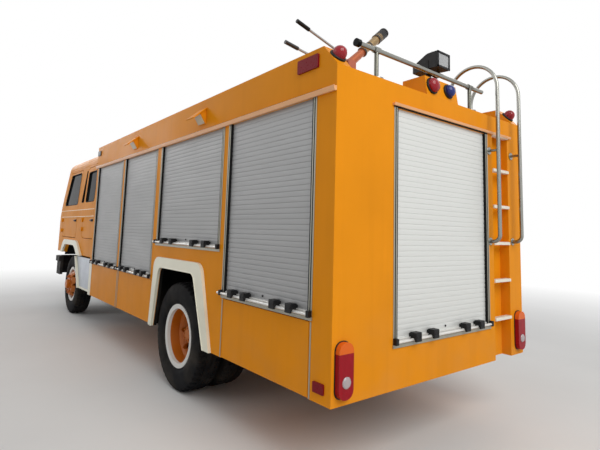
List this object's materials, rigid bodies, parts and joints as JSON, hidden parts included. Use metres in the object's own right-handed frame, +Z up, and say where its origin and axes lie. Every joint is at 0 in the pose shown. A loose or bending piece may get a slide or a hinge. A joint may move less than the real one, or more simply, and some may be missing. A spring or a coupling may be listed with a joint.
{
  "type": "airport fire truck",
  "caption": "Two-axle crew-cab fire truck with roller-shutter lockers, fold-down lower panels, rear ladder, roof monitor, tilting cab, opening doors and steered front wheels.",
  "frame": {"origin": "bottom centre of the bounding box, on the ground", "axes": "+X towards the cab, +Y to the left side, +Z up"},
  "size_m": [8.68, 2.72, 3.9479],
  "materials": {
    "chassis_black": "satin",
    "engine_grey": "matt",
    "tank_alloy": "satin",
    "body_paint": "gloss",
    "pale_paint": "gloss",
    "frame_alloy": "brushed",
    "shutter_alloy": "satin",
    "black_plastic": "matt",
    "rung_steel": "brushed",
    "rail_steel": "polished",
    "lamp_red": "gloss",
    "beacon_red": "gloss",
    "monitor_paint": "gloss",
    "monitor_bronze": "satin",
    "step_alloy": "chequered",
    "bumper_black": "satin",
    "lamp_clear": "gloss",
    "cab_glass": "gloss",
    "seat_trim": "woven",
    "grille_black": "matt",
    "wheel_paint": "gloss",
    "tyre": "matt"
  },
  "bodies": {
    "chassis": {"chassis_frame": "chassis_black", "front_axle": "chassis_black", "rear_axle": "chassis_black", "leaf_springs": "chassis_black", "prop_shaft": "chassis_black", "engine": "engine_grey", "tanks": "tank_alloy", "body_shell": "body_paint", "rear_arches": "pale_paint", "shutter_frames": "frame_alloy", "shutters": "shutter_alloy", "lift_bars": "black_plastic", "ladder_rungs": "rung_steel", "hand_rails": "rail_steel", "rear_lamps": "lamp_red", "beacons": "beacon_red", "lamp_box": "body_paint", "work_lamp": "black_plastic", "side_lamps": "body_paint", "markers": "lamp_red", "monitor_riser": "body_paint", "step_boxes": "step_alloy", "mudguards": "pale_paint", "bumper": "bumper_black", "head_lamps": "lamp_clear"},
    "cab": {"cab_shell": "body_paint", "cab_glass": "cab_glass", "front_arches": "pale_paint", "wheel_liners": "black_plastic", "mirrors": "black_plastic", "seats": "seat_trim", "dashboard": "black_plastic", "grille": "grille_black"},
    "door_front_left": {"door_front_left": "body_paint", "door_glass_front_left": "cab_glass"},
    "door_rear_left": {"door_rear_left": "body_paint", "door_glass_rear_left": "cab_glass"},
    "knuckle_left": {"knuckle_left": "chassis_black"},
    "wheel_front_left": {"wheel_front_left": "wheel_paint", "tyre_front_left": "tyre"},
    "wheels_rear_left": {"wheel_rear_left": "wheel_paint", "tyres_rear_left": "tyre"},
    "lower_panel_left_1": {"lower_panel_left_1": "body_paint"},
    "lower_panel_left_2": {"lower_panel_left_2": "body_paint"},
    "lower_panel_left_3": {"lower_panel_left_3": "body_paint"},
    "door_front_right": {"door_front_right": "body_paint", "door_glass_front_right": "cab_glass"},
    "door_rear_right": {"door_rear_right": "body_paint", "door_glass_rear_right": "cab_glass"},
    "knuckle_right": {"knuckle_right": "chassis_black"},
    "wheel_front_right": {"wheel_front_right": "wheel_paint", "tyre_front_right": "tyre"},
    "wheels_rear_right": {"wheel_rear_right": "wheel_paint", "tyres_rear_right": "tyre"},
    "lower_panel_right_1": {"lower_panel_right_1": "body_paint"},
    "lower_panel_right_2": {"lower_panel_right_2": "body_paint"},
    "lower_panel_right_3": {"lower_panel_right_3": "body_paint"},
    "tie_rod": {"tie_rod": "chassis_black"},
    "monitor_swivel": {"monitor_swivel": "monitor_paint"},
    "monitor_barrel": {"monitor_barrel": "monitor_bronze"}
  },
  "joints": [
    {"name": "cab_tilt", "type": "hinge", "parent": "chassis", "child": "cab", "pos_m": [4.19, 0, 1.045], "axis": [0, 1, 0], "range_deg": [0, 45]},
    {"name": "door_front_left_hinge", "type": "hinge", "parent": "cab", "child": "door_front_left", "pos_m": [3.915, 1.202, 2], "axis": [0, 0, -1], "range_deg": [0, 70]},
    {"name": "door_rear_left_hinge", "type": "hinge", "parent": "cab", "child": "door_rear_left", "pos_m": [2.32, 1.202, 2], "axis": [0, 0, -1], "range_deg": [0, 70]},
    {"name": "steer_left", "type": "hinge", "parent": "chassis", "child": "knuckle_left", "pos_m": [3.12, 0.82, 0.53], "axis": [0, 0, 1], "range_deg": [-32, 32]},
    {"name": "wheel_front_left_spin", "type": "hinge", "parent": "knuckle_left", "child": "wheel_front_left", "pos_m": [3.12, 0.99, 0.53], "axis": [0, 1, 0], "continuous": true},
    {"name": "wheels_rear_left_spin", "type": "hinge", "parent": "chassis", "child": "wheels_rear_left", "pos_m": [-1.88, 1.072, 0.53], "axis": [0, 1, 0], "continuous": true},
    {"name": "lower_panel_left_1_fold", "type": "hinge", "parent": "chassis", "child": "lower_panel_left_1", "pos_m": [-3.435, 1.218, 0.552], "axis": [-1, 0, 0], "range_deg": [0, 90]},
    {"name": "lower_panel_left_2_fold", "type": "hinge", "parent": "chassis", "child": "lower_panel_left_2", "pos_m": [-0.595, 1.218, 0.552], "axis": [-1, 0, 0], "range_deg": [0, 90]},
    {"name": "lower_panel_left_3_fold", "type": "hinge", "parent": "chassis", "child": "lower_panel_left_3", "pos_m": [0.7, 1.218, 0.552], "axis": [-1, 0, 0], "range_deg": [0, 90]},
    {"name": "door_front_right_hinge", "type": "hinge", "parent": "cab", "child": "door_front_right", "pos_m": [3.915, -1.202, 2], "axis": [0, 0, 1], "range_deg": [0, 70]},
    {"name": "door_rear_right_hinge", "type": "hinge", "parent": "cab", "child": "door_rear_right", "pos_m": [2.32, -1.202, 2], "axis": [0, 0, 1], "range_deg": [0, 70]},
    {"name": "steer_right", "type": "hinge", "parent": "chassis", "child": "knuckle_right", "pos_m": [3.12, -0.82, 0.53], "axis": [0, 0, 1], "range_deg": [-32, 32]},
    {"name": "wheel_front_right_spin", "type": "hinge", "parent": "knuckle_right", "child": "wheel_front_right", "pos_m": [3.12, -0.99, 0.53], "axis": [0, 1, 0], "continuous": true},
    {"name": "wheels_rear_right_spin", "type": "hinge", "parent": "chassis", "child": "wheels_rear_right", "pos_m": [-1.88, -1.072, 0.53], "axis": [0, 1, 0], "continuous": true},
    {"name": "lower_panel_right_1_fold", "type": "hinge", "parent": "chassis", "child": "lower_panel_right_1", "pos_m": [-3.435, -1.218, 0.552], "axis": [1, 0, 0], "range_deg": [0, 90]},
    {"name": "lower_panel_right_2_fold", "type": "hinge", "parent": "chassis", "child": "lower_panel_right_2", "pos_m": [-0.595, -1.218, 0.552], "axis": [1, 0, 0], "range_deg": [0, 90]},
    {"name": "lower_panel_right_3_fold", "type": "hinge", "parent": "chassis", "child": "lower_panel_right_3", "pos_m": [0.7, -1.218, 0.552], "axis": [1, 0, 0], "range_deg": [0, 90]},
    {"name": "tie_rod_swing", "type": "hinge", "parent": "knuckle_left", "child": "tie_rod", "pos_m": [2.93, 0.82, 0.4], "axis": [0, 0, 1], "range_deg": [-32, 32]},
    {"name": "monitor_turn", "type": "hinge", "parent": "chassis", "child": "monitor_swivel", "pos_m": [-3.03, 0, 3.15], "axis": [0, 0, 1], "continuous": true},
    {"name": "monitor_lift", "type": "hinge", "parent": "monitor_swivel", "child": "monitor_barrel", "pos_m": [-3.03, 0, 3.35], "axis": [-1, 0, 0], "range_deg": [-53, 27]}
  ],
  "couplings": [
    {"joint": "steer_right", "follows": "steer_left", "ratio": 1},
    {"joint": "tie_rod_swing", "follows": "steer_left", "ratio": -1}
  ]
}
